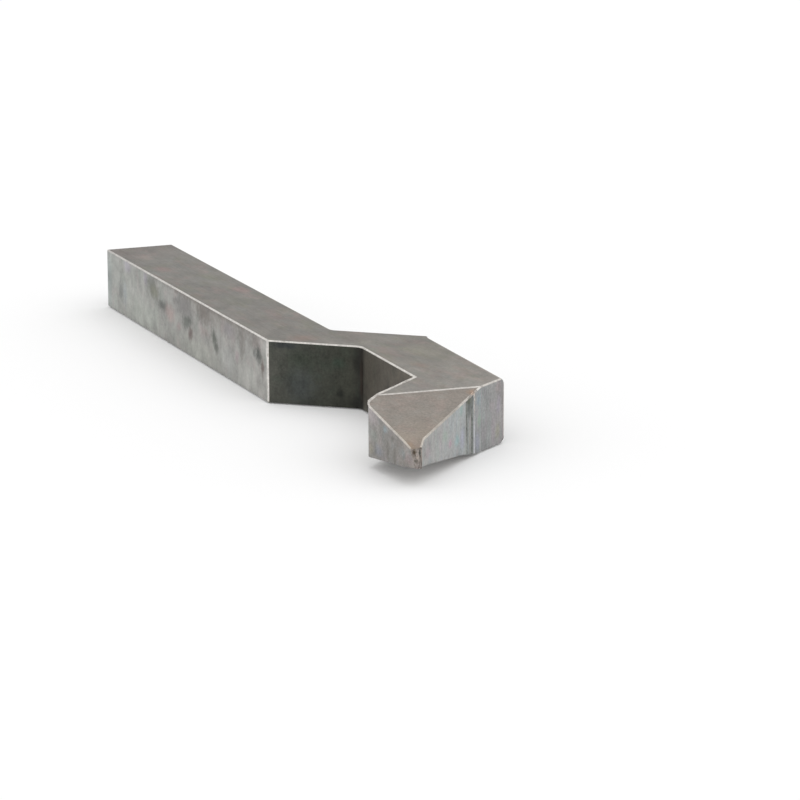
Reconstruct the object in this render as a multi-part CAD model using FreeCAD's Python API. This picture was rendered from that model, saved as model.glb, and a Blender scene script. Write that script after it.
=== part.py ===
import math
import os

import FreeCAD
import Part

# An offset punch: one square-edged steel bar, cranked sideways, with a blunt wedge-shaped nose.
# All sizes are in millimetres and all angles in degrees. The bar lies flat, with its thickness along +Z.
# In the working plan, the shank runs along X, its inner side lies on Y = 0, and the inner crank corner is at X = 0.

# The bar
thickness = 10.0            # height of the bar as it lies
shank_width = 12.0          # width of the shank, across the plan
shank_length = 80.8         # inner side of the shank, from the struck end to the crank corner

# The crank
crank_angle = 50.2          # turn of the crank out of the shank
crank_width = 10.15         # width of the crank, square to its run
offset = 11.8               # the leg begins this far out, measured on the inner sides
crank_corner_radius = 1.6   # round in the plan at the crank's two concave corners
crank_outer_radius = 1.0    # round in the plan at the crank's outer convex corner

# The leg, almost parallel to the shank
leg_angle = 0.8             # turn of the leg back towards the shank's line
leg_inner_length = 23.3     # inner side of the leg
leg_width = 12.3            # width of the leg, square to its run

# The nose
nose_angle = 48.4           # turn of the nose's inner flank back towards the shank's line
nose_width = 11.6           # width of the nose where the leg ends, square to its inner flank
shoulder_angle = 53.0       # turn of the nose's outer flank, the shoulder
nose_shoulder = 7.05        # outer flank of the nose, before the ground face begins
nose_inner_length = 16.5    # inner flank of the nose, from the leg to the nose corner
nose_corner_radius = 2.4    # round in the plan at the nose corner
tip_x = 59.3                # reach of the blunt tip past the inner crank corner
tip_y = 0.15                # the tip's inner edge stands this far out of the shank's inner side
tip_width = 1.45            # width of the blunt tip in the plan
relief_x = 56.7             # the outer ground face turns slightly here, just before the tip
relief_y = 3.1

# The bevels of the nose
top_bevel_angle = 13.0      # fall of the top bevel towards the tip
top_ridge_inner = 3.35      # the top bevel's ridge meets the inner flank this far behind the nose corner
under_bevel_angle = 11.6    # rise of the first bevel on the underside
under_bevel_angle_2 = 6.6   # rise of the second bevel on the underside
under_bevel_length = 5.2    # run of the first bevel, from its edge to the second bevel
under_edge_turn = 63.4      # direction of the underside's bevel edges in the plan
under_start_x = 43.6        # a point of the first edge in the plan, close to the outer ground face
under_start_y = 16.7

# The long edges
edge_break = 0.3            # small flat on all the other long edges
outer_edge_radius = 0.8     # round of the leg's two outer long edges


def cross_point(p, a, q, b):
    """The plan point where the line through p at angle a meets the line through q at angle b."""
    ca, sa = math.cos(math.radians(a)), math.sin(math.radians(a))
    cb, sb = math.cos(math.radians(b)), math.sin(math.radians(b))
    s = ((q[0] - p[0]) * sb - (q[1] - p[1]) * cb) / (ca * sb - sa * cb)
    return (p[0] + s * ca, p[1] + s * sa)


def along(p, a, d):
    """The plan point at distance d from p in the direction a."""
    return (p[0] + d * math.cos(math.radians(a)), p[1] + d * math.sin(math.radians(a)))


# Corners of the plan, round the outline against the clock from the inner crank corner
inner_crank = (0.0, 0.0)
end_inner = (-shank_length, 0.0)
end_outer = (-shank_length, shank_width)
crank_side = along(inner_crank, crank_angle + 90, crank_width)
outer_crank_start = cross_point((0, shank_width), 0, crank_side, crank_angle)
inner_leg_start = cross_point(inner_crank, crank_angle, (0, offset), 0)
leg_side = along(inner_leg_start, 90 - leg_angle, leg_width)
outer_crank_end = cross_point(leg_side, -leg_angle, crank_side, crank_angle)
inner_leg_end = along(inner_leg_start, -leg_angle, leg_inner_length)
nose_side = along(inner_leg_end, 90 - nose_angle, nose_width)
shoulder = cross_point(leg_side, -leg_angle, nose_side, -shoulder_angle)
ground_start = along(shoulder, -shoulder_angle, nose_shoulder)
nose_corner = along(inner_leg_end, -nose_angle, nose_inner_length)
tip_inner = (tip_x, tip_y)
tip_outer = (tip_x, tip_y + tip_width)
relief = (relief_x, relief_y)

# Each corner goes with its round in the plan, nought for a sharp one
outline = [
    (end_inner, 0),
    (inner_crank, 0),
    (inner_leg_start, crank_corner_radius),
    (inner_leg_end, 0),
    (nose_corner, nose_corner_radius),
    (tip_inner, 0),
    (tip_outer, 0),
    (relief, 0),
    (ground_start, 0),
    (shoulder, 0),
    (outer_crank_end, crank_outer_radius),
    (outer_crank_start, crank_corner_radius),
    (end_outer, 0),
]


def rounded_wire(corners, z):
    """A closed wire of straight runs and tangent arcs at height z."""
    n = len(corners)
    starts, ends, mids = [], [], []
    for i in range(n):
        (x, y), r = corners[i]
        (xa, ya), _ = corners[i - 1]
        (xb, yb), _ = corners[(i + 1) % n]
        la, lb = math.hypot(xa - x, ya - y), math.hypot(xb - x, yb - y)
        ua, ub = ((xa - x) / la, (ya - y) / la), ((xb - x) / lb, (yb - y) / lb)
        half = math.acos(ua[0] * ub[0] + ua[1] * ub[1]) / 2
        cut = r / math.tan(half) if r else 0.0
        starts.append(FreeCAD.Vector(x + ua[0] * cut, y + ua[1] * cut, z))
        ends.append(FreeCAD.Vector(x + ub[0] * cut, y + ub[1] * cut, z))
        bx, by = ua[0] + ub[0], ua[1] + ub[1]
        lm = math.hypot(bx, by)
        deep = r / math.sin(half) - r if r else 0.0
        mids.append(FreeCAD.Vector(x + bx / lm * deep, y + by / lm * deep, z))
    edges = []
    for i in range(n):
        if corners[i][1]:
            edges.append(Part.Arc(starts[i], mids[i], ends[i]).toShape())
        edges.append(Part.LineSegment(ends[i], starts[(i + 1) % n]).toShape())
    return Part.Wire(edges)


bar = Part.Face(rounded_wire(outline, 0.0)).extrude(FreeCAD.Vector(0, 0, thickness))


def stands_at(face, point):
    """True where the face stands upright at the given point."""
    u, v = face.Surface.parameter(point)
    return abs(face.normalAt(u, v).z) < 0.1


def sharp_level_edges(solid):
    """The level edges between the top or underside and a standing face."""
    found = []
    for edge in solid.Edges:
        middle = edge.valueAt((edge.FirstParameter + edge.LastParameter) / 2)
        level = abs(middle.z) < 1e-6 or abs(middle.z - thickness) < 1e-6
        faces = [f for f in solid.Faces if any(edge.isSame(e) for e in f.Edges)]
        if level and any(stands_at(f, middle) for f in faces):
            found.append(edge)
    return found


# Break all the long edges
bar = bar.makeChamfer(edge_break, sharp_level_edges(bar))

# The blocks that cut the leg's rounds and the nose's bevels reach well past the bar
block_reach = tip_x


def corner_block(height, up):
    """A long block that takes off the leg's outer edge at this height, all but a round. Up is 1 or -1."""
    turn = math.radians(-leg_angle)
    run = FreeCAD.Vector(math.cos(turn), math.sin(turn), 0)
    inward = FreeCAD.Vector(math.sin(turn), -math.cos(turn), 0)
    start = FreeCAD.Vector(outer_crank_end[0], outer_crank_end[1], height) - run * block_reach
    rise = FreeCAD.Vector(0, 0, up)
    r = outer_edge_radius
    centre = start + inward * r - rise * r
    on_flat, on_wall = centre + rise * r, centre - inward * r
    middle = centre + (rise - inward) * (r * math.sqrt(0.5))
    outside = [on_wall, on_wall - inward * r, on_wall - inward * r + rise * 2 * r, on_flat + rise * r, on_flat]
    edges = [Part.Arc(on_flat, middle, on_wall).toShape()]
    edges += [Part.LineSegment(a, b).toShape() for a, b in zip(outside, outside[1:])]
    return Part.Face(Part.Wire(edges)).extrude(run * 2 * block_reach)


# The leg stands furthest out, so a straight cut along its outer side touches nothing else
bar = bar.cut([corner_block(thickness, 1), corner_block(0.0, -1)])


def prism(point, direction, profile):
    """A long block across the nose: its section is the profile of (run, height) pairs along the plan direction."""
    d = math.radians(direction)
    run = FreeCAD.Vector(math.cos(d), math.sin(d), 0)
    side = FreeCAD.Vector(-math.sin(d), math.cos(d), 0)
    start = FreeCAD.Vector(point[0], point[1], 0) - side * block_reach
    section = [start + run * r + FreeCAD.Vector(0, 0, h) for r, h in profile]
    return Part.Face(Part.makePolygon(section + [section[0]])).extrude(side * 2 * block_reach)


# The top bevel falls from a ridge that runs across the nose, from the inner flank to the start of the ground face
ridge_inner = along(inner_leg_end, -nose_angle, nose_inner_length - top_ridge_inner)
ridge_direction = math.degrees(math.atan2(ground_start[1] - ridge_inner[1], ground_start[0] - ridge_inner[0]))
top_fall = math.tan(math.radians(top_bevel_angle))
bar = bar.cut(prism(ridge_inner, ridge_direction - 90, [
    (0, thickness),
    (block_reach, thickness - block_reach * top_fall),
    (block_reach, thickness + block_reach),
    (0, thickness + block_reach),
]))

# The underside rises in two bevels one after the other, the second one flatter than the first
first_height = under_bevel_length * math.tan(math.radians(under_bevel_angle))
second_run = block_reach - under_bevel_length
bar = bar.cut(prism((under_start_x, under_start_y), under_edge_turn - 90, [
    (0, 0),
    (under_bevel_length, first_height),
    (block_reach, first_height + second_run * math.tan(math.radians(under_bevel_angle_2))),
    (block_reach, -block_reach),
    (0, -block_reach),
]))

# Move the plan so that the middle of the whole part stands over the origin
box = bar.BoundBox
moved = (-box.Center.x, -box.Center.y)
bar.translate(FreeCAD.Vector(*moved, -box.ZMin))
shape = bar.Solids[0]

os.makedirs("parts", exist_ok=True)
shape.exportStep("parts/offset_punch.step")

box = shape.BoundBox
print("plan moved by", round(moved[0], 4), round(moved[1], 4))
print("solids", len(bar.Solids), "valid", shape.isValid(), "faces", len(shape.Faces))
print("box", [round(v, 3) for v in (box.XMin, box.YMin, box.ZMin, box.XMax, box.YMax, box.ZMax)])
print("size", round(box.XLength, 3), round(box.YLength, 3), round(box.ZLength, 3), "volume", round(shape.Volume, 1))
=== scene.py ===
# %% [markdown]
# # An offset pin punch in ground steel
# The punch is one bar of steel. Its shank runs straight from the struck end, then the bar is cranked
# sideways, runs on as a short leg, and turns back into a nose that is ground to a blunt wedge.
# This lesson shapes the bar from one cube, breaks its edges, and gives each side its own finish.
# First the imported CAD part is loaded. It says how large the bar is and where it lies.

# %% Load the CAD part
import math

import bmesh
import bpy
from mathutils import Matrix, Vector


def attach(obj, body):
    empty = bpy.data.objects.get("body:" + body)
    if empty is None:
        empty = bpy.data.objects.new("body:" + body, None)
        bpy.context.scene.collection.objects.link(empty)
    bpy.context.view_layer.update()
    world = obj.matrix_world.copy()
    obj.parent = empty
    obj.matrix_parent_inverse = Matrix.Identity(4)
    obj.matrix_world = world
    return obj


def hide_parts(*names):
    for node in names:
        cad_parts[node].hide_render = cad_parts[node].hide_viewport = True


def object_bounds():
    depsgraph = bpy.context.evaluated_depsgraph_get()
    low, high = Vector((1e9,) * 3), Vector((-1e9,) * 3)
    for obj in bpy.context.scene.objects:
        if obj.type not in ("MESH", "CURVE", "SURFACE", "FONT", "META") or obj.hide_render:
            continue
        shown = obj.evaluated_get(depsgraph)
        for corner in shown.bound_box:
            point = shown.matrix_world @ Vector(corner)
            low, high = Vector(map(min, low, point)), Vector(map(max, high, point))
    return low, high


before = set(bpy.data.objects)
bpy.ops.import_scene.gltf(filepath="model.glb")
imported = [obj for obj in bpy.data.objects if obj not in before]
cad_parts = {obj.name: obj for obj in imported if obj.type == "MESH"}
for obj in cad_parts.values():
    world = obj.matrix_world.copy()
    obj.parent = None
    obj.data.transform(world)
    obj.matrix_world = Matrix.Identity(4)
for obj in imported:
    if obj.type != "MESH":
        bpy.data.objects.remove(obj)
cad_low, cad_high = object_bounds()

mm = 0.001
struck_end = cad_low[0] / mm
tip_end = cad_high[0] / mm
thickness = (cad_high[2] - cad_low[2]) / mm
print("bar from", round(struck_end, 2), "to", round(tip_end, 2), "mm, and", round(thickness, 2), "mm thick")

# %% [markdown]
# ## The camera
# The camera is settled before the shapes, so that each shape can be held against the picture at once.
# A long lens from far away keeps the bar's long edges nearly parallel, as they are in the picture.
# The lens, place and turn were worked out by matching the corners of the bar.

# %% Camera
camera_data = bpy.data.cameras.new("camera")
camera_data.sensor_width = 36
camera_data.lens = 179.85
camera = bpy.data.objects.new("camera", camera_data)
camera.location = (0.58483, -0.2223, 0.14328)
camera.rotation_euler = [math.radians(a) for a in (76.832, 0.2191, 67.8584)]
bpy.context.scene.collection.objects.link(camera)
bpy.context.scene.camera = camera
print("camera stands", round(camera.location.length, 3), "m from the middle of the bar")

# %% [markdown]
# ## Picking parts of a mesh
# By hand, corners and edges are picked with the mouse. A script picks them by their place or normal.
# One helper clears the selection and then selects every vertex, edge or face that passes a test.
# A second one cuts the faces it picks with a plane, which is what Bisect does.

# %% Selection helpers
# Two places nearer than this count as the same place
close = 0.004 * mm
# A vertex this near to a cutting plane, in metres, counts as on it
cut_threshold = 1e-7
# A unit normal points straight along an axis when it has more than this share on it
straight = 0.999
up = Vector((0, 0, 1))


def edit(piece):
    """Goes into edit mode on this piece alone."""
    if bpy.context.object and bpy.context.object.mode != "OBJECT":
        bpy.ops.object.mode_set(mode="OBJECT")
    bpy.ops.object.select_all(action="DESELECT")
    piece.select_set(True)
    bpy.context.view_layer.objects.active = piece
    bpy.ops.object.mode_set(mode="EDIT")


def select_where(kind, test):
    """Selects the vertices, edges or faces that pass the test, and says how many there are."""
    bpy.ops.mesh.select_mode(type=kind)
    bpy.ops.mesh.select_all(action="DESELECT")
    data = bpy.context.object.data
    mesh = bmesh.from_edit_mesh(data)
    mesh.normal_update()
    parts = {"VERT": mesh.verts, "EDGE": mesh.edges, "FACE": mesh.faces}[kind]
    found = [part for part in parts if test(part)]
    for part in found:
        part.select_set(True)
    mesh.select_flush_mode()
    bmesh.update_edit_mesh(data)
    return len(found)


def cut_where(test, start, normal):
    """Cuts the faces that pass the test with a plane through the start, which is in mm."""
    select_where("FACE", test)
    bpy.ops.mesh.bisect(plane_co=start * mm, plane_no=normal, threshold=cut_threshold)


def at_plan(vertex, point):
    """True where the vertex stands at this point of the plan, given in mm."""
    return math.hypot(vertex.co.x - point[0] * mm, vertex.co.y - point[1] * mm) < close


def move(x=0.0, y=0.0, z=0.0):
    """Moves what is selected, in mm."""
    bpy.ops.transform.translate(value=(x * mm, y * mm, z * mm))


# %% [markdown]
# ## The corners of the plan
# Seen from above, the bar has an inner and an outer side. Its corners come in pairs, one on each side,
# and every later step uses them: the extrusions, the rounds and the finishes.

# %% Corners of the plan
shank_inner = -11.677
shank_outer = 0.323
crank_inner = (10.75, shank_inner)
crank_outer = (7.537, shank_outer)
leg_inner = (20.581, 0.123)
leg_outer = (17.653, 12.465)
flank_start = (43.879, -0.202)
shoulder = (49.142, 12.025)
nose_corner = (54.834, -12.541)
ground_start = (53.386, 6.395)
turn_inner = (67.45, -11.8)
turn_outer = (67.45, -8.577)
tip_inner = (tip_end, -11.65)
tip_outer = (tip_end, -10.077)
print("tip is", round(tip_outer[1] - tip_inner[1], 2), "mm wide")

# %% [markdown]
# ## The shank
# The shank is the plain length of square-edged bar that is struck or held. A cube is added at the
# size of the bar, and the outer corner of its far end is drawn back, so that the end stands on the
# mitre of the first bend.

# %% Shank
bpy.ops.object.select_all(action="DESELECT")
shank_length = crank_inner[0] - struck_end
shank_width = shank_outer - shank_inner
shank_middle = (struck_end + shank_length / 2, shank_inner + shank_width / 2, thickness / 2)
bpy.ops.mesh.primitive_cube_add(
    size=1,
    location=[v * mm for v in shank_middle],
    scale=(shank_length * mm, shank_width * mm, thickness * mm),
)
bpy.ops.object.transform_apply(location=True, rotation=True, scale=True)
punch = bpy.context.object
punch.name = "punch_bar"
punch.data.name = "punch_bar"

edit(punch)
select_where("VERT", lambda v: at_plan(v, (crank_inner[0], shank_outer)))
move(x=crank_outer[0] - crank_inner[0])
print("shank", round(shank_length, 2), "by", round(shank_width, 2), "by", round(thickness, 2), "mm")

# %% [markdown]
# ## The crank, the leg and the nose
# The rest of the bar follows from the shank as one run of extrusions. Each step pulls the end face
# on to the next pair of corners in the plan: one on the inner side and one on the outer side.
# Extruding keeps the bar one closed skin, with no walls left inside it.

# %% Crank, leg and nose
next_corners = [
    (leg_inner, leg_outer),
    (flank_start, shoulder),
    (nose_corner, ground_start),
    (turn_inner, turn_outer),
    (tip_inner, tip_outer),
]
inner, outer = crank_inner, crank_outer
for next_inner, next_outer in next_corners:
    select_where("FACE", lambda f: all(at_plan(v, inner) or at_plan(v, outer) for v in f.verts))
    step = (next_inner[0] - inner[0], next_inner[1] - inner[1])
    bpy.ops.mesh.extrude_region_move(
        TRANSFORM_OT_translate={"value": (step[0] * mm, step[1] * mm, 0)}
    )
    carried = (outer[0] + step[0], outer[1] + step[1])
    select_where("VERT", lambda v: at_plan(v, carried))
    move(x=next_outer[0] - carried[0], y=next_outer[1] - carried[1])
    inner, outer = next_inner, next_outer
print("corners round the plan:", len(bmesh.from_edit_mesh(punch.data).verts) // 2)

# %% [markdown]
# ## Round corners in the plan
# The cutter left a round in the two hollow corners of the crank, the crank's outer corner is broken
# a little, and the nose corner is ground round.
# An upright edge is bevelled with several segments. The offset of a bevel is where the round begins,
# so it comes from the radius and from the angle between the two walls.

# %% Round corners
# Each row has a corner, its radius in mm, the angle between its walls in degrees, and its segments
plan_rounds = [
    (leg_inner, 1.6, 129.0, 8),
    (crank_outer, 1.6, 129.8, 8),
    (leg_outer, 1.0, 129.0, 8),
    (nose_corner, 2.4, 127.8, 12),
]
for corner, radius, angle, segments in plan_rounds:
    select_where("EDGE", lambda e: all(at_plan(v, corner) for v in e.verts))
    bpy.ops.mesh.bevel(
        offset=radius / math.tan(math.radians(angle / 2)) * mm,
        segments=segments,
        profile=0.5,
        clamp_overlap=False,
    )
print("rounds in the plan:", len(plan_rounds))

# %% [markdown]
# ## The bevel on top of the nose
# The nose is ground down on top, from a ridge that crosses it to the tip. A bisect with one tilted
# plane does the same: it cuts the mesh, clears what is above, and fills the cut with a flat face.

# %% Top bevel
ridge_inner = Vector((52.61, -10.036, thickness))
ridge_outer = Vector((*ground_start, thickness))
top_fall = math.radians(13.0)
ridge_run = (ridge_outer - ridge_inner).normalized()
towards_tip = Vector((ridge_run.y, -ridge_run.x, 0))
bevel_normal = towards_tip * math.sin(top_fall) + up * math.cos(top_fall)
bpy.ops.mesh.select_all(action="SELECT")
bpy.ops.mesh.bisect(
    plane_co=ridge_inner * mm,
    plane_no=bevel_normal,
    use_fill=True,
    clear_outer=True,
    threshold=cut_threshold,
)
print("top bevel falls", round(math.degrees(top_fall), 1), "degrees from a ridge of",
      round((ridge_outer - ridge_inner).length, 2), "mm")

# %% [markdown]
# ## The underside of the nose
# Below, the nose rises from the floor in two flats, and the second is a little less steep. Together
# they are hollow, so a plane can't cut them both. Instead two upright cuts mark where the flats begin,
# and each foot vertex beyond the first mark is lifted by the height of the flats at its place.

# %% Underside
foot_start = Vector((54.35, 5.023, 0))
foot_run = Vector((0.89415, -0.44776, 0))
first_flat = 5.2
first_rise = math.tan(math.radians(11.6))
second_rise = math.tan(math.radians(6.6))
for distance in (0.0, first_flat):
    bpy.ops.mesh.select_all(action="SELECT")
    bpy.ops.mesh.bisect(
        plane_co=(foot_start + foot_run * distance) * mm,
        plane_no=foot_run,
        threshold=cut_threshold,
    )


def foot_height(place):
    """Height of the underside over the floor in mm, at a place in the plan."""
    reach = (place - foot_start).dot(foot_run)
    return max(0.0, min(first_rise * reach, first_rise * first_flat + second_rise * (reach - first_flat)))


foot_places = []
for vertex in bmesh.from_edit_mesh(punch.data).verts:
    place = Vector((vertex.co.x / mm, vertex.co.y / mm, 0))
    if vertex.co.z < close and foot_height(place) > 0.001:
        foot_places.append(place)
for place in foot_places:
    select_where("VERT", lambda v: at_plan(v, place) and v.co.z < close)
    move(z=foot_height(place))
highest = max(foot_height(place) for place in foot_places)
print("foot corners lifted:", len(foot_places), "highest", round(highest, 2), "mm")

# %% [markdown]
# ## The worn tip
# The tip was touched up by hand, and its left edge leans: it narrows downwards almost to a point.
# Two vertices carry this, the upper and the lower end of that edge.

# %% Tip lean
# All in mm: a height between the tip's upper and lower corners, and how far each of them moves
tip_middle = 4.4
lean_above = -0.1
lean_below = 0.95
drop_above = -0.06
drop_below = -0.05
select_where("VERT", lambda v: at_plan(v, tip_inner) and v.co.z > tip_middle * mm)
move(y=lean_above, z=drop_above)
select_where("VERT", lambda v: at_plan(v, tip_inner) and v.co.z < tip_middle * mm)
move(y=lean_below, z=drop_below)
print("the tip's left edge leans by", round(lean_below - lean_above, 2), "mm")

# %% [markdown]
# ## The leg's round outer edges
# The bar was drawn with rounded edges, and on the outer side of the leg they are still there, because
# nothing was ground away. They are picked as the edges between the leg's outer wall and a level face.

# %% Leg's outer edges
outer_round = 1.1


def on_leg_outer_side(edge):
    """True for a level edge between the top or underside and the leg's outer wall."""
    if len(edge.link_faces) != 2:
        return False
    flat, wall = sorted(edge.link_faces, key=lambda f: abs(f.normal.z), reverse=True)
    on_leg = edge.verts[0].co.x > leg_outer[0] * mm
    return abs(flat.normal.z) > straight and wall.normal.y > straight and on_leg


count = select_where("EDGE", on_leg_outer_side)
bpy.ops.mesh.bevel(offset=outer_round * mm, segments=8, profile=0.5, clamp_overlap=False, loop_slide=False)
print("outer edges rounded:", count)

# %% [markdown]
# ## Slots for the finishes
# A bar like this is ground on some sides and keeps its dark skin on others, so each side gets a
# material of its own. The slots are made before the edges are broken, because the modifier that breaks
# them puts its new faces straight into the slot of the bright edge.

# %% Finishes as empty slots
finish_names = [
    "top_face",
    "shank_side",
    "dark_wall",
    "nose_left",
    "ground_wall",
    "shoulder_wall",
    "nose_bevel",
    "tip_end",
    "grind_score",
    "outer_side",
    "sawn_end",
    "underside",
    "bright_edge",
]
finishes = {}
for name in finish_names:
    finishes[name] = bpy.data.materials.new(name)
    punch.data.materials.append(finishes[name])
slot_of = {name: i for i, name in enumerate(finish_names)}
bright = slot_of["bright_edge"]
print("finishes:", len(finishes))

# %% [markdown]
# ## Broken edges
# All other edges were broken with a stone, so that they don't cut the hand. These small faces are
# bright, and they draw the shape of the punch in the picture. Each edge gets a bevel weight, and one
# Bevel modifier then breaks them all together, which keeps the corners clean. The tip's upright edges
# and the ridge are worn more, so they weigh more. The edges round the foot weigh less.

# %% Broken edges
sharp = math.radians(30)
# The foot's edges lie lower than this in mm, also where they rise under the nose
nose_low = 3.5


def is_corner(edge):
    """True for an edge that stands out by more than the sharp angle."""
    return edge.is_manifold and edge.is_convex and edge.calc_face_angle() > sharp


def is_worn_tip(edge):
    """True for the two upright edges of the tip."""
    heights = [v.co.z for v in edge.verts]
    at_tip = min(v.co.x for v in edge.verts) > (tip_end - 0.01) * mm
    return at_tip and max(heights) - min(heights) > mm and is_corner(edge)


def is_ridge(edge):
    """True for the edge where the top bevel begins."""
    heights = [v.co.z for v in edge.verts]
    tilts = sorted(f.normal.z for f in edge.link_faces)
    return min(heights) > (thickness - 0.01) * mm and 0.9 < tilts[0] < 0.99 and tilts[1] > straight


def is_foot(edge):
    """True for an edge round the foot of the bar."""
    return is_corner(edge) and max(v.co.z for v in edge.verts) < nose_low * mm


edge_breaks = [
    ("worn tip", is_worn_tip, 0.4),
    ("ridge", is_ridge, 0.3),
    ("foot", is_foot, 0.12),
    ("all others", is_corner, 0.22),
]
widest_break = max(width for label, test, width in edge_breaks)
broken = set()
for label, test, width in edge_breaks:
    count = select_where("EDGE", lambda e: e.index not in broken and test(e))
    broken.update(e.index for e in bmesh.from_edit_mesh(punch.data).edges if e.select)
    bpy.ops.transform.edge_bevelweight(value=width / widest_break)
    print(label, count, "edges at", width, "mm")
bpy.ops.object.mode_set(mode="OBJECT")

bevel = punch.modifiers.new("broken_edges", "BEVEL")
bevel.width = widest_break * mm
bevel.segments = 4
bevel.limit_method = "WEIGHT"
bevel.use_clamp_overlap = False
bevel.loop_slide = False
bevel.material = bright
bpy.ops.object.modifier_apply(modifier=bevel.name)
print("faces after the edges are broken:", len(punch.data.polygons))

# %% [markdown]
# ## One finish for each side
# The sides are told apart by where their faces look and where they stand. The small faces of the
# broken edges keep the bright finish, apart from those along the foot of the bar, which nobody rubs,
# and those of the tip, which is ground all over.

# %% Finishes on the faces
edit(punch)


def give_finish(name, test, edges_too=False):
    """Puts the named finish on the faces that pass the test."""
    count = select_where("FACE", lambda f: (edges_too or f.material_index != bright) and test(f))
    punch.active_material_index = slot_of[name]
    bpy.ops.object.material_slot_assign()
    print(name, count, "faces")


def middle(face):
    """The middle of a face in mm."""
    return face.calc_center_median() / mm


give_finish("outer_side", lambda f: f.normal.y > 0.02 and f.normal.x < 0.3 and f.normal.z < 0.7)
give_finish("top_face", lambda f: f.normal.z > straight or f.normal.z >= 0.7 and f.normal.x < 0.1)
give_finish("underside", lambda f: f.normal.z < -0.7)
give_finish("shank_side", lambda f: f.normal.y < -0.9 and middle(f).x < crank_inner[0])
give_finish(
    "dark_wall",
    lambda f: abs(f.normal.z) < 0.3 and f.normal.y < 0.1 and crank_inner[0] < middle(f).x < nose_corner[0],
)
give_finish("nose_left", lambda f: f.normal.y < -0.8 and middle(f).x > nose_corner[0] - 1)
give_finish("ground_wall", lambda f: f.normal.x > 0.4 and f.normal.y > 0.3)
give_finish(
    "shoulder_wall",
    lambda f: f.normal.x > 0.76 and f.normal.y > 0.5 and middle(f).x < ground_start[0],
)
give_finish("tip_end", lambda f: f.normal.x > 0.9)
give_finish("nose_bevel", lambda f: 0.9 < f.normal.z < straight)
give_finish("sawn_end", lambda f: f.normal.x < -0.9)


def on_foot(face):
    """True for a small face of a broken edge along the foot of the bar."""
    looks_down = face.normal.z < -0.05
    return looks_down and face.material_index == bright and middle(face).z < nose_low


def on_tip(face, reach):
    """True for a face that looks along the bar, no further than the reach in mm behind the tip."""
    return middle(face).x > tip_end - reach and face.normal.x > 0.3


give_finish("shank_side", lambda f: on_foot(f) and middle(f).x < crank_inner[0] and f.normal.y < 0, True)
give_finish("dark_wall", lambda f: on_foot(f) and middle(f).x < nose_corner[0] and f.normal.y < 0.1, True)
give_finish("ground_wall", lambda f: on_foot(f) and f.normal.x > 0.1 and f.normal.y > 0.1, True)
give_finish("nose_left", lambda f: on_foot(f) and middle(f).x > nose_corner[0], True)
give_finish("underside", lambda f: on_foot(f) and f.normal.z < -0.5, True)
give_finish("tip_end", lambda f: on_tip(f, 0.6) and abs(f.normal.z) < 0.5, True)
give_finish("nose_bevel", lambda f: on_tip(f, 0.3) and f.normal.z >= 0.5, True)

# %% [markdown]
# ## The burr on the nose's inner flank
# Grinding pushes steel over the far edge, and there it stands up as a fine bright burr. Here it runs
# along the flank and round the nose corner. The bright strip of the flank is cut across every 1.5 mm,
# and the ridge's strip close to it. The vertices inside the strip, which touch nothing but bright
# faces, are then pushed out along their normals twice, and only once at the far end of the corner.
# Round the corner itself the burr stands a little higher.

# %% Flank burr
# All in mm: how deep a top edge's bright faces reach, then the burr's push, disorder and extra rise at
# the nose corner
edge_depth = 0.5
burr_push = 0.13
burr_disorder = 0.03
corner_lift = 0.12
flank_foot = Vector((*flank_start, thickness))
flank_run = (Vector((*nose_corner, thickness)) - flank_foot).normalized()
flank_out = Vector((flank_run.y, -flank_run.x, 0))
to_ridge = (ridge_inner - flank_foot).dot(flank_run)
ridge_cuts = [0.4, 0.8]
flank_cuts = [0.4, to_ridge + 1.2] + [1.5 * step for step in range(1, 10)]


def is_strip(face, point, across, reach):
    """True for a bright face of a top edge that stays within reach of the line through the point."""
    near = abs((middle(face) - point).dot(across)) < reach
    return near and face.material_index == bright and middle(face).z > thickness - edge_depth


def along_flank(vertex):
    """How far in mm a vertex lies from the leg towards the nose corner."""
    return (vertex.co / mm - flank_foot).dot(flank_run)


def on_burr(vertex, turn):
    """True inside the bright strip, as far round the nose corner as the turn allows."""
    all_bright = all(f.material_index == bright for f in vertex.link_faces)
    level = math.hypot(vertex.normal.x, vertex.normal.y)
    away = vertex.normal.y < -0.5 * level and vertex.normal.x < -turn * level
    return all_bright and away and along_flank(vertex) > 0.1 and vertex.co.z > (thickness - 1.5) * mm


def on_ridge_strip(face):
    """True for a face of the ridge's bright strip."""
    return is_strip(face, ridge_inner, towards_tip, 0.3) and face.normal.z > 0.9


def on_flank_strip(face):
    """True for a face of the flank's bright strip."""
    return is_strip(face, flank_foot, flank_out, 0.4)


for distance in ridge_cuts:
    cut_where(on_ridge_strip, ridge_inner - flank_out * distance, flank_out)
for distance in flank_cuts:
    cut_where(on_flank_strip, flank_foot + flank_run * distance, flank_run)
for turn in (0.5, 0.2):
    count = select_where("VERT", lambda v: on_burr(v, turn))
    bpy.ops.transform.shrink_fatten(value=burr_push * mm)
    print("burr vertices pushed out:", count)
select_where("VERT", lambda v: on_burr(v, 0.2) and along_flank(v) > to_ridge + 0.6)
move(z=corner_lift)
select_where("VERT", lambda v: on_burr(v, 0.2))
bpy.ops.transform.vertex_random(offset=burr_disorder * mm, uniform=1.0, seed=7)

# %% [markdown]
# ## Scores beside the shoulder
# The outer ground wall was ground in two goes that don't quite match. Where they join, two shallow
# ragged scores run down the wall, with a thin raised line beside them. Three upright cuts give each
# line its two rims and its middle, and level cuts divide it. The middle is then pushed in or pulled
# out, and a little disorder makes it ragged.

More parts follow.
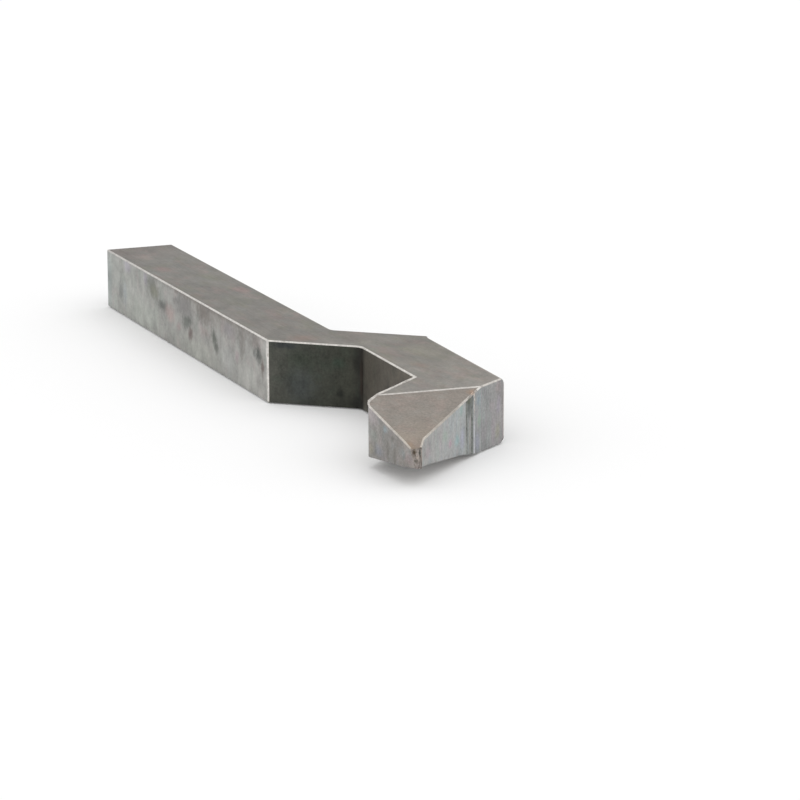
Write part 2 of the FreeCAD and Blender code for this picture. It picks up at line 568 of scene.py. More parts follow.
# %% Scores
# The level cuts of a score: the height between them in mm, and how many there are
score_step = 0.53
score_cuts = 16
half_height = thickness / 2
ground_side = Vector((*turn_outer, 0)) - Vector((*ground_start, 0))
ground_run = ground_side.normalized()
ground_out = Vector((-ground_run.y, ground_run.x, 0))


def is_ground_wall(face):
    """True for a face that looks the way the outer ground wall does."""
    return face.normal.dot(ground_out) > 0.995


def from_score(point, place, lean):
    """How far a point in mm lies beyond a leaning line on the ground wall."""
    flat = Vector((point.x - ground_start[0], point.y - ground_start[1], 0))
    return flat.dot(ground_run) - place - lean * (point.z - half_height)


def score(place, lean, half_width, depth, name, seed):
    """Cuts one ragged line down the ground wall, with sizes in mm. A negative depth raises it."""
    across = ground_run - up * lean
    foot = Vector((*ground_start, half_height)) + ground_run * place
    near = 0.02

    def in_line(face):
        """True for a face of the wall between the two rims."""
        return is_ground_wall(face) and abs(from_score(middle(face), place, lean)) < half_width

    def on_middle(vertex):
        """True for a vertex of the wall on the line's middle."""
        point = vertex.co / mm
        return abs(from_score(point, place, lean)) < near and abs((point - foot).dot(ground_out)) < near

    for shift in (-half_width, 0.0, half_width):
        cut_where(is_ground_wall, foot + ground_run * shift, across)
    for level in range(1, score_cuts + 1):
        cut_where(in_line, up * (level * score_step), up)
    give_finish(name, in_line)
    select_where("VERT", on_middle)
    move(*(-ground_out * depth))
    bpy.ops.transform.vertex_random(offset=abs(depth) * 0.6 * mm, uniform=1.0, seed=seed)


score(place=2.55, lean=0.0, half_width=0.15, depth=-0.06, name="bright_edge", seed=3)
score(place=3.35, lean=0.0, half_width=0.3, depth=0.2, name="grind_score", seed=5)
score(place=5.3, lean=0.03, half_width=0.28, depth=0.16, name="grind_score", seed=8)

# %% [markdown]
# ## Burrs and chips
# Close up, a broken edge is never straight. Beside the shoulder the wheel left a small burr and a wavy
# edge, and the tip has small chips. The faces there are subdivided, and their vertices are moved by up
# to about a tenth of a millimetre, with a seed, so that each run gives the same result.

# %% Burrs and chips
# All in mm: distances along the ground wall from its start, and how far the burr stands out
burr_start = 0.5
burr_end = 1.3
waves_end = 4.9
burr_out = 0.15
slope_cuts = [burr_start, burr_end, 2.2, 3.1, 4.0, waves_end]


def inside(vertex, test):
    """True where all the faces round a vertex pass the test, so that moving it bends no large face."""
    return all(test(face) for face in vertex.link_faces)


def roughen(label, test, cuts, amount, seed):
    """Divides the faces that pass the test and disorders the vertices inside them. The amount is in mm."""
    select_where("FACE", test)
    bpy.ops.mesh.subdivide(number_cuts=cuts)
    count = select_where("VERT", lambda v: inside(v, test))
    bpy.ops.transform.vertex_random(offset=amount * mm, uniform=1.0, seed=seed)
    print(label, count, "vertices")


def along_slope(point):
    """How far a point in mm lies from the start of the ground wall towards the tip."""
    return Vector((point.x - ground_start[0], point.y - ground_start[1], 0)).dot(ground_run)


def near_slope(face, first, last):
    """True for a bright face of the slope's edge on the ground side, between two distances."""
    on_edge = face.material_index == bright and middle(face).z > tip_middle and face.normal.y > 0.1
    return on_edge and first < along_slope(middle(face)) < last


for distance in slope_cuts:
    cut_where(lambda f: near_slope(f, -1, 30), ridge_outer + ground_run * distance, ground_run)
roughen("wavy slope edge", lambda f: near_slope(f, burr_end, waves_end), cuts=2, amount=0.09, seed=2)
roughen("burr", lambda f: near_slope(f, burr_start, burr_end), cuts=2, amount=0.11, seed=6)
select_where("VERT", lambda v: inside(v, lambda f: near_slope(f, 0.3, burr_end)))
move(*(ground_out * burr_out + up * burr_out))
roughen("chipped tip", lambda f: f.material_index == slot_of["tip_end"], cuts=2, amount=0.09, seed=4)

# %% [markdown]
# ## Smooth and sharp
# Faces that meet at a small angle are shaded as one round surface, and the others stay crisp.
# The Weighted Normal modifier then lets the large faces rule, so that each of them shades flat.

# %% Shading
smooth_below = math.radians(24)
bpy.ops.object.mode_set(mode="OBJECT")
bpy.ops.object.shade_smooth_by_angle(angle=smooth_below)
weighted = punch.modifiers.new("flat_faces", "WEIGHTED_NORMAL")
weighted.keep_sharp = True
weighted.weight = 100
bpy.ops.object.modifier_apply(modifier=weighted.name)
print("faces of the bar:", len(punch.data.polygons))

# %% [markdown]
# ## Colours and nodes
# Colours are easiest to judge as the 0 to 255 values of a picture, but a shader works with linear
# light, so a helper converts them. The other helpers add a node, set its values and link it in one go.

# %% Colour and node helpers


def tone(red, green, blue):
    """A colour from the 0 to 255 values of a picture, as linear light."""
    parts = [v / 255 for v in (red, green, blue)]
    return (*[v / 12.92 if v <= 0.04045 else ((v + 0.055) / 1.055) ** 2.4 for v in parts], 1.0)


def plug(tree, made, values):
    """Sets each named input of a node. A value that is a socket is linked."""
    for name, value in values.items():
        if isinstance(value, bpy.types.NodeSocket):
            tree.links.new(value, made.inputs[name])
        else:
            made.inputs[name].default_value = value
    return made


def add(tree, kind, values, **settings):
    """Adds a node with its settings and inputs, and gives it back."""
    made = tree.nodes.new("ShaderNode" + kind)
    for name, value in settings.items():
        setattr(made, name, value)
    return plug(tree, made, values)


def mix(tree, share, first, second):
    """The colour that goes from the first to the second as the share goes from 0 to 1."""
    return add(tree, "Mix", {0: share, 6: first, 7: second}, data_type="RGBA").outputs[2]


def maths(tree, operation, first, second=0.0, third=0.0):
    """One sum on two or three numbers."""
    return add(tree, "Math", {0: first, 1: second, 2: third}, operation=operation).outputs[0]


def vectors(tree, operation, first, second):
    """One sum on two vectors."""
    return add(tree, "VectorMath", {0: first, 1: second}, operation=operation).outputs[0]


def new_group(name, inputs, output):
    """An empty node group with these named inputs and one number as its output."""
    group = bpy.data.node_groups.new(name, "ShaderNodeTree")
    for socket, value in inputs.items():
        kind = "NodeSocketFloat" if isinstance(value, float) else "NodeSocketVector"
        group.interface.new_socket(socket, in_out="INPUT", socket_type=kind).default_value = value
    group.interface.new_socket(output, in_out="OUTPUT", socket_type="NodeSocketFloat")
    return group, group.nodes.new("NodeGroupInput").outputs, group.nodes.new("NodeGroupOutput").inputs


def use(tree, group, values):
    """Places a group in a material and gives its output."""
    made = tree.nodes.new("ShaderNodeGroup")
    made.node_tree = group
    return plug(tree, made, values).outputs[0]


print("a mid grey of 140 is", round(tone(140, 140, 140)[0], 3), "in linear light")

# %% [markdown]
# ## Uneven steel
# Ground steel is never one even grey. Oil, fingers and heat leave soft clouds, the wheel leaves fine
# parallel lines, and fine grain lies over both. All three are the same noise at different sizes.
# This group gives noise whose blots have a size in mm along each axis, so a long thin size draws
# grinding lines, and a turn lays them across a face at an angle.

# %% Uneven group
uneven, given, result = new_group(
    "uneven",
    {"Vector": (0, 0, 0), "Turn": (0, 0, 0), "Size": (4, 4, 4), "Shift": (0, 0, 0)},
    "Value",
)
turning = {"Vector": given["Vector"], "Rotation": given["Turn"]}
turned = add(uneven, "VectorRotate", turning, rotation_type="EULER_XYZ")
in_mm = vectors(uneven, "MULTIPLY", turned.outputs[0], (1000, 1000, 1000))
sized = vectors(uneven, "DIVIDE", in_mm, given["Size"])
shifted = vectors(uneven, "ADD", sized, given["Shift"])
noise = add(uneven, "TexNoise", {"Vector": shifted, "Scale": 1.0, "Detail": 3.0, "Roughness": 0.6})
uneven.links.new(noise.outputs["Fac"], result["Value"])
print("group", uneven.name, "has", len(uneven.nodes), "nodes")

# %% [markdown]
# ## Stains
# Some marks are where they are for a reason: a thumb, a drop of oil, a burn from the wheel. The stain
# group makes a soft blot of a given reach at a place on the bar, with a ragged rim, and gives its mask.
# A turn lays a long blot at an angle.

# %% Stain group
stain, given, result = new_group(
    "stain",
    {
        "Vector": (0, 0, 0),
        "Centre": (0, 0, 0),
        "Turn": (0, 0, 0),
        "Reach": (1, 1, 1),
        "Ragged": 1.0,
        "Strength": 1.0,
    },
    "Mask",
)
in_mm = vectors(stain, "MULTIPLY", given["Vector"], (1000, 1000, 1000))
offset = vectors(stain, "SUBTRACT", in_mm, given["Centre"])
turning = {"Vector": offset, "Rotation": given["Turn"]}
turned = add(stain, "VectorRotate", turning, rotation_type="EULER_XYZ")
share = vectors(stain, "DIVIDE", turned.outputs[0], given["Reach"])
away = add(stain, "VectorMath", {0: share}, operation="LENGTH").outputs["Value"]
rag = add(stain, "TexNoise", {"Vector": in_mm, "Scale": 1.1, "Detail": 3.0, "Roughness": 0.6})
rag_height = maths(stain, "SUBTRACT", rag.outputs["Fac"], 0.5)
rim = maths(stain, "MULTIPLY_ADD", rag_height, given["Ragged"], away)
fade = {"Value": rim, "From Min": 1.0, "From Max": 0.15}
soft = add(stain, "MapRange", fade, interpolation_type="SMOOTHSTEP")
stain.links.new(maths(stain, "MULTIPLY", soft.outputs["Result"], given["Strength"]), result["Mask"])
print("group", stain.name, "has", len(stain.nodes), "nodes")

# %% [markdown]
# ## Building a steel finish
# Every side is steel, so all finishes share one recipe. A colour that changes slowly along the bar is
# made lighter and darker by clouds, lines and grain. Tints lie over it as coloured clouds, and stains
# as blots at their own places. The grinding lines also change the roughness and a very shallow bump.

# %% Steel recipe
# The size of the grain's blots in mm, the depth of the grinding lines, and the noise at which a tint
# begins and is full
grain_size = (0.35, 0.35, 0.35)
line_relief = 0.02 * mm
tint_begins = 0.5
tint_full = 0.68


def along_bar(tree, place, stops):
    """A colour that changes along the bar. Stops are pairs of X in mm and a colour."""
    x = add(tree, "SeparateXYZ", {0: place}).outputs["X"]
    span = {"Value": x, "From Min": struck_end * mm, "From Max": tip_end * mm}
    ramp = add(tree, "ValToRGB", {"Fac": add(tree, "MapRange", span).outputs["Result"]})
    elements = ramp.color_ramp.elements
    elements.remove(elements[1])
    for i, (x_mm, colour) in enumerate(stops):
        position = (x_mm - struck_end) / (tip_end - struck_end)
        stop = elements[0] if i == 0 else elements.new(position)
        stop.position = position
        stop.color = tone(*colour)
    return ramp.outputs["Color"]


def steel(
    name,
    stops,
    clouds=(4, 4, 4),
    cloud_depth=0.5,
    lines=(6, 0.3, 0.3),
    line_depth=0.3,
    turn=(0, 0, 0),
    grain_depth=0.35,
    tints=(),
    stains=(),
    metallic=0.7,
    roughness=0.5,
):
    """Fills a finish. A tint is (colour, size, strength, shift).

    A stain is (centre, reach, colour, strength, tilt). Places, sizes and reaches are in mm, and tilts
    in degrees. A tilt turns the stain in the plane of a wall that runs along the bar.
    """
    material = finishes[name]
    material.use_nodes = True
    tree = material.node_tree
    shader = tree.nodes["Principled BSDF"]
    place = add(tree, "TexCoord", {}).outputs["Object"]
    cloud = use(tree, uneven, {"Vector": place, "Size": clouds})
    line = use(tree, uneven, {"Vector": place, "Turn": turn, "Size": lines})
    grain = use(tree, uneven, {"Vector": place, "Size": grain_size})
    light = 1.0
    for layer, depth in ((cloud, cloud_depth), (line, line_depth), (grain, grain_depth)):
        light = maths(tree, "MULTIPLY_ADD", maths(tree, "SUBTRACT", layer, 0.5), depth, light)
    colour = along_bar(tree, place, stops)
    for tint, size, strength, shift in tints:
        values = {"Vector": place, "Turn": turn, "Size": size, "Shift": (shift, shift, shift)}
        cloud_value = use(tree, uneven, values)
        reach = {"Value": cloud_value, "From Min": tint_begins, "From Max": tint_full, "To Max": strength}
        colour = mix(tree, add(tree, "MapRange", reach).outputs["Result"], colour, tone(*tint))
    for centre, reach, tint, strength, tilt in stains:
        turned = (0, math.radians(tilt), 0)
        values = {"Vector": place, "Centre": centre, "Turn": turned, "Reach": reach, "Strength": strength}
        colour = mix(tree, use(tree, stain, values), colour, tone(*tint))
    lit = add(tree, "HueSaturation", {"Color": colour, "Value": light})
    rough = maths(tree, "MULTIPLY_ADD", maths(tree, "SUBTRACT", line, 0.5), 0.3, roughness)
    height = add(tree, "Bump", {"Height": line, "Distance": line_relief, "Strength": 0.5})
    plug(tree, shader, {"Base Color": lit.outputs[0], "Roughness": rough, "Normal": height.outputs[0]})
    shader.inputs["Metallic"].default_value = metallic
    print(name, "has", len(tree.nodes), "nodes")


# %% [markdown]
# ## The top and the outer side
# The top is a brownish grey that gets lighter towards the nose, with faint pink and olive clouds.
# Part of its darkness next to the lighter walls of the nose is a painted dark reflection.
# The outer side kept more of its dark skin, and so did the underside.

# %% Top and outer finishes
pink = (136, 116, 110)
olive = (112, 112, 92)
steel(
    "top_face",
    [(-70, (111, 104, 99)), (-55, (116, 113, 107)), (0, (113, 109, 103)), (35, (124, 119, 111)),
     (50, (135, 130, 123))],
    clouds=(5, 3, 3), cloud_depth=0.9, line_depth=0.4, grain_depth=0.7,
    tints=[(pink, (6, 3, 3), 0.45, 3.0), (olive, (5, 2.4, 2.4), 0.4, 8.0),
           ((108, 114, 108), (4, 2, 2), 0.3, 5.0)],
    stains=[
        ((-66, -9.8, 10), (6, 2.4, 2), (104, 95, 90), 0.6, 0),
        ((-49.5, -8.4, 10), (3.6, 2, 2), (136, 112, 107), 0.6, 0),
        ((-27.8, -2.2, 10), (4, 2, 2), (140, 116, 112), 0.7, 0),
        ((-39.5, -3, 10), (5, 2.2, 2), (108, 108, 90), 0.45, 0),
        ((-20, -6, 10), (5, 3.5, 2), (110, 110, 96), 0.4, 0),
        ((3, -1.6, 10), (4, 2.2, 2), (112, 112, 96), 0.45, 0),
        ((11.8, -6.2, 10), (3.6, 4, 2), (124, 102, 92), 0.6, 0),
        ((14.6, 1, 10), (4, 3.4, 2), (104, 92, 88), 0.4, 0),
        ((28, 8, 10), (9, 4, 2), (122, 119, 102), 0.4, 0),
        ((36.5, 3.5, 10), (3, 1.6, 2), (144, 122, 112), 0.45, 0),
    ],
)
steel(
    "outer_side",
    [(-70, (104, 107, 104)), (10, (98, 101, 97)), (16, (97, 98, 91)), (49, (101, 104, 101))],
    clouds=(6, 4, 4), cloud_depth=0.7, line_depth=0.4, grain_depth=0.6,
    tints=[(olive, (7, 4, 4), 0.25, 4.0)],
)
steel(
    "underside",
    [(-70, (122, 120, 115)), (50, (128, 125, 119)), (70, (140, 135, 128))],
    clouds=(6, 4, 4), cloud_depth=0.5, line_depth=0.4, tints=[(olive, (7, 4, 4), 0.3, 6.0)],
)
steel("sawn_end", [(-70, (132, 132, 129))], lines=(0.3, 0.3, 5), line_depth=0.6)

# %% [markdown]
# ## The shank's inner side
# This side was handled most. It is a light grey with fine upright lines, and it has the most marks:
# dark oily blots below the top edge, slanted rubs, and patches that shine a little pink or violet.

# %% Shank side finish
# Each mark has X and Z of its middle, its reach along X and Z, its colour, its strength and its tilt
shank_marks = [
    (-51, 2.2, 16, 3.6, (172, 175, 168), 0.8, 0),
    (-22, 1.6, 18, 3.2, (170, 171, 164), 0.8, 0),
    (2, 1.6, 10, 3.4, (174, 174, 169), 0.7, 0),
    (-12, 9.2, 26, 3.2, (126, 120, 114), 0.5, 0),
    (-62.4, 4.2, 2.2, 3.8, (112, 115, 113), 0.75, 0),
    (-60.2, 3.9, 1.6, 3.2, (140, 146, 150), 0.6, 0),
    (-69.2, 5.0, 2.4, 8.0, (150, 158, 156), 0.7, 0),
    (-58.8, 9.0, 3.0, 1.6, (164, 158, 170), 0.6, 0),
    (-49.0, 8.8, 1.6, 1.8, (160, 156, 170), 0.5, 0),
    (-45.0, 7.9, 5.4, 3.4, (114, 116, 109), 0.75, -8),
    (-44.6, 7.4, 3.4, 1.8, (118, 118, 98), 0.5, -8),
    (-39.8, 5.8, 3.4, 1.4, (88, 90, 86), 0.8, 6),
    (-36.2, 5.2, 3.4, 2.2, (170, 151, 147), 0.7, 0),
    (-29.4, 7.9, 6.8, 3.4, (116, 113, 112), 0.75, 0),
    (-31.8, 3.8, 1.8, 1.0, (166, 148, 146), 0.5, 0),
    (-27.6, 5.3, 3.4, 1.7, (88, 92, 86), 0.85, 14),
    (-26.0, 3.7, 1.6, 1.8, (100, 84, 80), 0.8, -30),
    (-19.3, 8.4, 4.8, 2.6, (112, 105, 99), 0.8, 0),
    (-18.5, 5.5, 3.2, 1.2, (152, 138, 134), 0.5, 0),
    (-14.3, 5.4, 2.4, 1.7, (84, 88, 80), 0.9, -38),
    (-13.2, 4.0, 1.6, 1.5, (92, 94, 88), 0.8, -20),
    (-12.0, 6.2, 1.2, 1.6, (170, 170, 166), 0.5, 0),
    (-7.6, 3.0, 5.0, 3.8, (170, 171, 168), 0.7, 0),
    (-7.3, 8.1, 4.2, 1.9, (136, 130, 134), 0.6, 0),
    (-3.3, 4.5, 1.4, 1.6, (166, 148, 152), 0.5, 0),
    (-0.9, 7.2, 1.8, 4.0, (116, 110, 105), 0.65, 0),
    (5.2, 8.6, 3.6, 2.0, (122, 112, 108), 0.6, 0),
    (6.7, 6.8, 1.7, 2.0, (60, 66, 60), 0.9, 10),
    (4.9, 6.6, 1.2, 1.4, (96, 100, 96), 0.7, 0),
    (8.5, 5.2, 1.1, 2.2, (100, 86, 80), 0.8, 0),
    (6.4, 2.4, 1.2, 1.8, (140, 138, 134), 0.6, 0),
    (-16.0, 9.8, 40, 0.9, (110, 102, 96), 0.6, 0),
    (10.6, 6.5, 0.8, 9.0, (206, 203, 200), 0.9, 0),
]
steel(
    "shank_side",
    [(-70, (163, 165, 161)), (-62, (166, 167, 162)), (-48, (155, 155, 151)), (-25, (153, 152, 148)),
     (9, (163, 162, 158))],
    clouds=(3, 3, 3.4), cloud_depth=1.0, lines=(0.45, 0.45, 4), line_depth=0.5, grain_depth=0.5,
    tints=[((162, 148, 147), (3, 3, 4), 0.45, 5.0), ((140, 146, 139), (3, 3, 4), 0.5, 9.0)],
    stains=[
        ((x, shank_inner, z), (long, 3, high), colour, strength, tilt)
        for x, z, long, high, colour, strength, tilt in shank_marks
    ],
)

# %% [markdown]
# ## The dark walls of the crank and the leg
# Inside the crank nobody ground the bar, so its skin is dark, greenish in places, and warmer and lighter
# along the leg. The near-black at the crank is partly that skin and partly painted shade and a painted
# dark reflection, since the wall stands in the hollow of the crank. A brown line of old oil stands in
# the round corner, and a thin painted shadow runs just below the crank wall's top edge.

# %% Dark wall finish
steel(
    "dark_wall",
    [(10.7, (79, 79, 73)), (14, (63, 65, 59)), (19.5, (60, 61, 53)), (20.6, (38, 37, 33)),
     (21.3, (45, 43, 39)), (22.1, (97, 92, 84)), (26, (99, 94, 85)), (30, (96, 91, 83)),
     (43, (103, 97, 87))],
    clouds=(2.4, 2.4, 3), cloud_depth=1.1, lines=(0.7, 0.7, 5), line_depth=0.6, grain_depth=0.9,
    tints=[((58, 70, 60), (2.6, 2.6, 3), 0.3, 2.0)],
    stains=[
        ((20.4, -0.2, 7.4), (1.0, 1.4, 3.0), (34, 34, 30), 0.8, 0),
        ((21.1, 0.3, 4.6), (0.6, 1.2, 6.0), (54, 40, 32), 0.7, 0),
        ((20.2, -0.4, 0.9), (1.6, 2.0, 2.2), (32, 32, 29), 0.7, 0),
        ((18.4, -2.4, 2.2), (1.0, 1.2, 1.1), (32, 34, 30), 0.8, 0),
        ((14.3, -7.4, 3.0), (3.2, 3.8, 4.4), (68, 72, 71), 0.7, 0),
        ((14.4, -7.3, 7.2), (3.4, 4.0, 2.2), (57, 66, 54), 0.45, 0),
        ((18.4, -2.6, 7.1), (1.4, 1.6, 1.4), (50, 68, 56), 0.45, 0),
        # Painted shadow: a thin dark band just below the crank wall's top edge
        ((12.6, -9.4, 9.4), (3.0, 3.6, 0.9), (50, 54, 57), 0.7, 0),
    ],
)

# %% [markdown]
# ## The ground faces of the nose
# The nose was ground last, so it is the cleanest steel, with upright lines on its walls. Heat from the
# wheel has tinted it very slightly: straw on the bevel, and blue, green and pink columns on the walls.
# The outer ground wall is lighter than the left wall partly as painted light falling from the right side.

# %% Nose finishes
upright = (0.4, 0.4, 4)
steel(
    "nose_bevel",
    [(52, (143, 135, 127)), (60, (142, 135, 127)), (66, (149, 139, 128)), (70, (144, 132, 120))],
    clouds=(2.5, 2.5, 2.5), cloud_depth=0.4, lines=(0.25, 3, 0.25), line_depth=0.4, grain_depth=0.8,
    turn=(0, 0, math.radians(20)),
    tints=[((150, 148, 142), (2.5, 2.5, 2.5), 0.4, 2.0), ((158, 140, 132), (2.5, 2.5, 2.5), 0.4, 6.0)],
    stains=[
        ((55.0, 4.4, 9.6), (1.3, 1.3, 1.6), (170, 138, 112), 0.5, 0),
        ((68.8, -11.2, 6.2), (1.8, 0.7, 1.5), (150, 128, 108), 0.6, 0),
    ],
)
steel(
    "nose_left",
    [(54, (153, 150, 146)), (58, (146, 143, 139)), (63, (135, 133, 129)), (70, (150, 143, 138))],
    clouds=(2.2, 2.2, 3), cloud_depth=0.9, lines=upright, line_depth=0.4, grain_depth=0.9,
    tints=[((152, 140, 142), (2, 2, 3), 0.4, 1.0), ((132, 137, 137), (2, 2, 3), 0.5, 7.0)],
    stains=[
        ((57.0, -12.4, 8.0), (3.0, 2, 2.0), (164, 156, 158), 0.7, 0),
        ((61.4, -12.1, 6.9), (1.2, 2, 0.8), (138, 154, 160), 0.6, 0),
        ((57.5, -12.4, 5.2), (2.2, 2, 1.3), (140, 146, 140), 0.6, 0),
        ((59.0, -12.3, 3.2), (2.2, 2, 1.4), (126, 129, 138), 0.6, 0),
        ((56.5, -12.4, 3.0), (1.2, 2, 1.4), (148, 144, 128), 0.6, 0),
        ((62.2, -12.1, 3.9), (0.8, 2, 2.2), (112, 108, 103), 0.7, 0),
        ((63.7, -12.0, 6.1), (0.9, 2, 0.7), (110, 107, 102), 0.7, 0),
        ((64.5, -12.0, 3.6), (0.8, 2, 2.0), (110, 106, 101), 0.7, 0),
        ((67.0, -11.8, 4.7), (1.6, 2, 1.2), (136, 142, 142), 0.5, 0),
        ((69.0, -11.7, 4.2), (1.4, 2, 1.4), (160, 144, 146), 0.35, 0),
    ],
)
wall_tints = [((148, 160, 164), (1.1, 1.1, 5), 0.5, 2.0), ((152, 163, 155), (1.0, 1.0, 5), 0.45, 5.0),
              ((168, 157, 160), (0.9, 0.9, 5), 0.45, 9.0)]
steel(
    "ground_wall",
    [(53, (148, 150, 150)), (55.2, (148, 150, 150)), (55.5, (134, 136, 133)), (57.0, (142, 143, 140)),
     (57.4, (165, 168, 168)), (63, (165, 165, 164)), (70, (161, 158, 155))],
    clouds=(2, 2, 3), cloud_depth=0.6, lines=upright, line_depth=0.7, grain_depth=0.8, tints=wall_tints,
    stains=[
        ((56.4, 3.2, 7.7), (1.7, 1.7, 2.4), (94, 99, 96), 0.9, 0),
        ((56.4, 3.2, 8.7), (1.6, 1.6, 0.8), (84, 88, 70), 0.8, 0),
        ((55.7, 4.0, 9.4), (0.6, 0.7, 0.4), (190, 152, 124), 0.6, 0),
        ((56.4, 3.2, 3.4), (0.5, 0.6, 3.0), (158, 156, 148), 0.6, 0),
        ((58.4, 1.0, 8.0), (1.0, 1.0, 1.4), (146, 168, 164), 0.7, 0),
        ((58.1, 1.3, 3.6), (1.2, 1.2, 2.2), (168, 168, 184), 0.7, 0),
        ((59.4, -0.1, 3.6), (1.2, 1.2, 1.6), (146, 176, 176), 0.7, 0),
        ((61.1, -1.9, 3.8), (0.9, 0.9, 1.0), (178, 150, 162), 0.7, 0),
        ((62.3, -3.2, 5.2), (1.6, 1.6, 1.4), (152, 166, 154), 0.6, 0),
        ((66.5, -7.6, 4.2), (1.4, 1.4, 1.6), (172, 158, 162), 0.5, 0),
        ((54.1, 5.7, 8.1), (1.0, 1.0, 1.2), (130, 146, 156), 0.6, 0),
        ((54.3, 5.4, 1.8), (1.2, 1.2, 2.2), (154, 156, 170), 0.7, 0),
        ((53.8, 5.9, 4.9), (1.0, 1.0, 1.4), (140, 156, 140), 0.6, 0),
    ],
)
steel(
    "shoulder_wall",
    [(49, (150, 146, 145)), (53, (145, 147, 146))],
    clouds=(2, 2, 3), cloud_depth=0.6, lines=upright, line_depth=0.7, grain_depth=0.8,
    tints=[((150, 140, 146), (0.8, 0.8, 4), 0.45, 9.0), ((142, 149, 148), (0.9, 0.9, 4), 0.45, 3.0)],
    stains=[
        ((50.4, 10.4, 2.2), (1.0, 1.0, 2.0), (158, 156, 140), 0.6, 0),
        ((50.3, 10.5, 8.8), (1.2, 1.2, 1.2), (162, 148, 147), 0.4, 0),
        ((50.2, 10.6, 6.2), (0.9, 0.9, 2.4), (154, 146, 160), 0.5, 0),
        ((51.2, 9.3, 2.6), (0.9, 0.9, 3.0), (160, 147, 154), 0.45, 0),
        ((51.4, 9.1, 6.2), (0.9, 0.9, 1.6), (160, 149, 152), 0.4, 0),
    ],
)
steel(
    "tip_end",
    [(69, (156, 148, 142)), (70, (156, 148, 142))],
    clouds=(0.7, 0.7, 0.7), cloud_depth=1.2, lines=(0.4, 0.4, 0.8), line_depth=0.8, grain_depth=1.0,
    stains=[
        ((70, -11.2, 5.4), (0.6, 0.45, 0.9), (86, 74, 56), 0.9, 0),
        ((70, -10.3, 5.3), (0.6, 0.35, 0.9), (86, 88, 82), 0.9, 0),
        ((70, -10.9, 4.0), (0.6, 0.4, 0.4), (104, 100, 92), 0.7, 0),
        ((70, -10.7, 4.6), (0.6, 0.3, 0.3), (184, 172, 158), 0.8, 0),
        ((70, -11.1, 3.7), (0.6, 0.35, 0.25), (184, 178, 172), 0.8, 0),
        ((70, -10.5, 3.4), (0.6, 0.4, 0.4), (178, 172, 168), 0.8, 0),
        ((69.9, -10.8, 2.9), (0.8, 1.2, 0.9), (166, 156, 152), 0.8, 0),
    ],
)
# The scores are a darker grey than the wall: partly unground skin, partly painted shade in the grooves
steel(
    "grind_score",
    [(53, (118, 121, 117)), (56, (116, 119, 115)), (56.7, (124, 126, 122))],
    clouds=(0.5, 0.5, 0.9), cloud_depth=2.4, lines=(0.4, 0.4, 2), grain_depth=1.0,
    stains=[((56.9, 2.2, 1.2), (1.6, 1.6, 4.0), (146, 148, 146), 0.8, 0)],
)

# %% [markdown]
# ## The bright edges
# Where the edges were broken and rubbed, the bare steel is light, and its colour also holds a painted
# highlight, as if each small face caught the light. It is duller towards the struck end and down the
# slope of the nose, and darker patches break its line. The white spot at the burr beside the shoulder
# is a painted highlight.

# %% Bright edge finish
steel(
    "bright_edge",
    [(-70, (186, 182, 178)), (-45, (200, 197, 192)), (5, (214, 211, 206)), (43, (212, 208, 202)),
     (55, (200, 195, 189)), (70, (194, 186, 175))],
    clouds=(1.3, 1.3, 1.3), cloud_depth=0.7, line_depth=0.0, grain_depth=0.8, metallic=0.6, roughness=0.4,
    tints=[((170, 165, 158), (0.9, 0.9, 0.9), 0.6, 3.0)],
    stains=[
        ((62.5, -3.5, 8.2), (11, 8, 6), (170, 163, 154), 0.85, 0),
        # Painted highlight: a white spot on the burr beside the shoulder
        ((54.0, 5.8, 10), (1.0, 1.0, 1.0), (228, 225, 220), 0.9, 0),
        ((55.3, 4.3, 9.8), (1.0, 1.0, 1.0), (212, 178, 152), 0.5, 0),
        ((55.1, 4.5, 2.6), (0.8, 0.8, 5.6), (206, 206, 214), 0.9, 0),
    ],
)

# %% [markdown]
# ## The floor
# The punch lies on a plain white floor. Where the camera, a reflection or light through glass meets the
# floor, it glows a little as well, so that it is seen as white without more light on the bar.

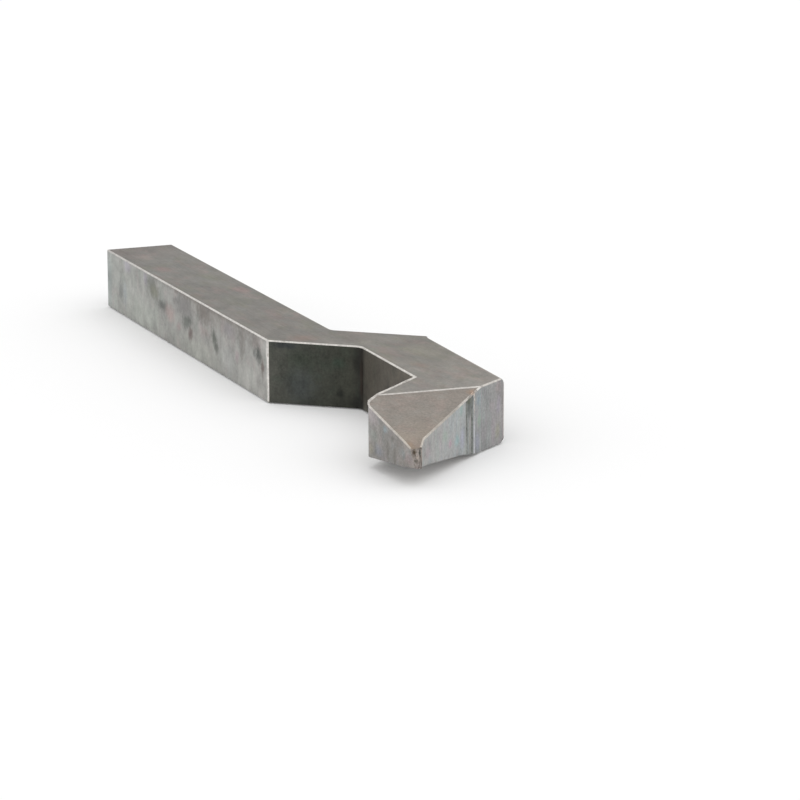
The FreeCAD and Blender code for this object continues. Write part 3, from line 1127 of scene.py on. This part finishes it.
# %% Floor
# Sizes in metres, and the floor's own white and glow
floor_size = 6
floor_drop = 0.0002
matt_white = 0.86
glow_strength = 0.1
bpy.ops.object.select_all(action="DESELECT")
bpy.ops.mesh.primitive_plane_add(size=floor_size, location=(0, 0, -floor_drop))
floor = bpy.context.object
floor.name = "floor"
floor_material = bpy.data.materials.new("floor_white")
floor_material.use_nodes = True
tree = floor_material.node_tree
tree.nodes.clear()
paths = add(tree, "LightPath", {}).outputs
looked_at = maths(tree, "MAXIMUM", paths["Is Camera Ray"], paths["Is Glossy Ray"])
looked_at = maths(tree, "MAXIMUM", looked_at, paths["Is Transmission Ray"])
matt = add(tree, "BsdfDiffuse", {"Color": (matt_white, matt_white, matt_white, 1)}).outputs[0]
glow = add(tree, "Emission", {"Color": (1, 1, 1, 1), "Strength": glow_strength}).outputs[0]
both = add(tree, "AddShader", {0: matt, 1: glow}).outputs[0]
seen = add(tree, "MixShader", {0: looked_at, 1: matt, 2: both}).outputs[0]
add(tree, "OutputMaterial", {"Surface": seen})
floor.data.materials.append(floor_material)
print("floor", [round(v, 1) for v in floor.dimensions], "m")

# %% [markdown]
# ## The light
# A white world lights the bar softly from all round, at a level where a colour renders about as it is
# written. One wide, weak lamp from the front adds a little shape.

# %% World and lamp
world = bpy.data.worlds.new("studio")
bpy.context.scene.world = world
world.use_nodes = True
world.node_tree.nodes["Background"].inputs["Color"].default_value = (1, 1, 1, 1)
world.node_tree.nodes["Background"].inputs["Strength"].default_value = 1.0

lamp = bpy.data.lights.new("front_light", "SUN")
lamp.energy = 0.3
lamp.angle = math.radians(60)
lamp_stand = bpy.data.objects.new("front_light", lamp)
lamp_from = Vector((0.7, 0.25, 0.65))
lamp_stand.rotation_euler = lamp_from.to_track_quat("Z", "Y").to_euler()
bpy.context.scene.collection.objects.link(lamp_stand)
print("lamp strength", round(lamp.energy, 2))

# %% [markdown]
# ## Joining the punch to the CAD part
# The bar rides on the only body and stands for the one CAD solid, which is hidden.

# %% Finish
bpy.context.scene.view_settings.view_transform = "Standard"
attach(punch, "root")
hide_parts("offset_punch")
